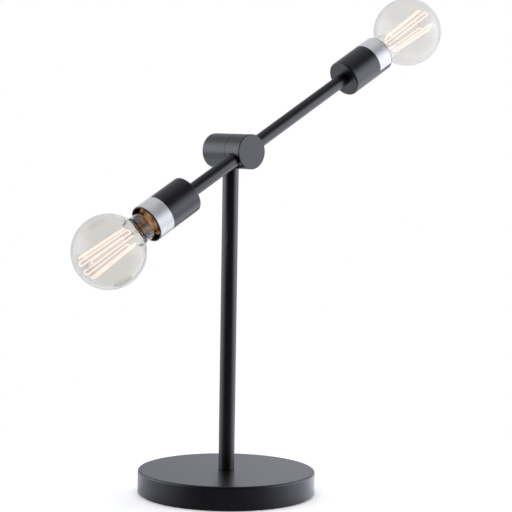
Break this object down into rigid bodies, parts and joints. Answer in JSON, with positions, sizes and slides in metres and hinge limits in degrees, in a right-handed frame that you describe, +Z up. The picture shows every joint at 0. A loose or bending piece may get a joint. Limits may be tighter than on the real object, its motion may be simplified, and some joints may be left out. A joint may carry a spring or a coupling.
{
  "type": "table lamp",
  "caption": "Matte black table lamp with a tilting balance arm on a round base and a clear globe filament bulb in a cup at each end",
  "frame": {"origin": "centre of the underside of the foot pad, where the lamp stands", "axes": "+Z up along the post; the pivot barrel lies along Y with its turning half and the arm towards -Y; the arm swings in a plane parallel to XZ, with the long raised end towards +X and the lower end towards -X"},
  "size_m": [0.5197, 0.2015, 0.5678],
  "materials": {
    "black_steel": "satin black powder coat",
    "iron": "cast, unpainted",
    "foot_pad": "matte sheet",
    "bushing_plastic": "moulded",
    "zinc_steel": "zinc plated",
    "spring_steel": "plain",
    "friction_plastic": "nylon",
    "lead_insulation": "extruded",
    "foil": "metallised film, blank",
    "holder_plastic": "moulded, satin",
    "shell_brass": "drawn, threaded look in the shell",
    "cap_brass": "rolled, threaded look",
    "insulator_glass": "black vitreous insulator",
    "solder": "solder",
    "clear_glass": "clear, blown",
    "filament": "glowing wire",
    "support_wire": "drawn wire"
  },
  "bodies": {
    "base": {"base_shell": "black_steel", "base_weight": "iron", "base_pad": "foot_pad", "cord_bushing": "bushing_plastic", "base_washer": "zinc_steel", "base_nut": "zinc_steel", "base_nipple": "zinc_steel", "post": "black_steel", "post_foot_plug": "zinc_steel", "post_head_plug": "zinc_steel", "post_top_nipple": "zinc_steel", "pivot_body": "black_steel", "pivot_rear_cap": "black_steel", "friction_washer": "friction_plastic"},
    "arm": {"pivot_head": "black_steel", "stop_pin": "spring_steel", "pivot_axle": "zinc_steel", "disc_spring": "spring_steel", "pivot_washer": "zinc_steel", "pivot_nut": "zinc_steel", "arm_left": "black_steel", "arm_right": "black_steel", "arm_plugs": "zinc_steel", "arm_nipples": "zinc_steel", "leads_left": "lead_insulation", "cup_left": "black_steel", "foil_band_left": "foil", "holder_base_left": "holder_plastic", "holder_body_left": "holder_plastic", "terminal_screws_left": "zinc_steel", "screw_shell_left": "shell_brass", "centre_contact_left": "shell_brass", "leads_right": "lead_insulation", "cup_right": "black_steel", "foil_band_right": "foil", "holder_base_right": "holder_plastic", "holder_body_right": "holder_plastic", "terminal_screws_right": "zinc_steel", "screw_shell_right": "shell_brass", "centre_contact_right": "shell_brass"},
    "bulb_left": {"bulb_glass_left": "clear_glass", "bulb_cap_left": "cap_brass", "bulb_insulator_left": "insulator_glass", "bulb_contact_left": "solder", "glass_stem_left": "clear_glass", "filament_left": "filament", "filament_supports_left": "support_wire"},
    "bulb_right": {"bulb_glass_right": "clear_glass", "bulb_cap_right": "cap_brass", "bulb_insulator_right": "insulator_glass", "bulb_contact_right": "solder", "glass_stem_right": "clear_glass", "filament_right": "filament", "filament_supports_right": "support_wire"}
  },
  "joints": [
    {"name": "arm_tilt", "type": "hinge", "parent": "base", "child": "arm", "pos_m": [0, 0, 0.3862], "axis": [0, -1, 0], "range_deg": [-99.2, 40.8]},
    {"name": "bulb_left_out", "type": "slide", "parent": "arm", "child": "bulb_left", "axis": [-0.8729, 0, -0.4879], "range_m": [0, 0.023]},
    {"name": "bulb_right_out", "type": "slide", "parent": "arm", "child": "bulb_right", "axis": [0.8729, 0, 0.4879], "range_m": [0, 0.023]}
  ]
}
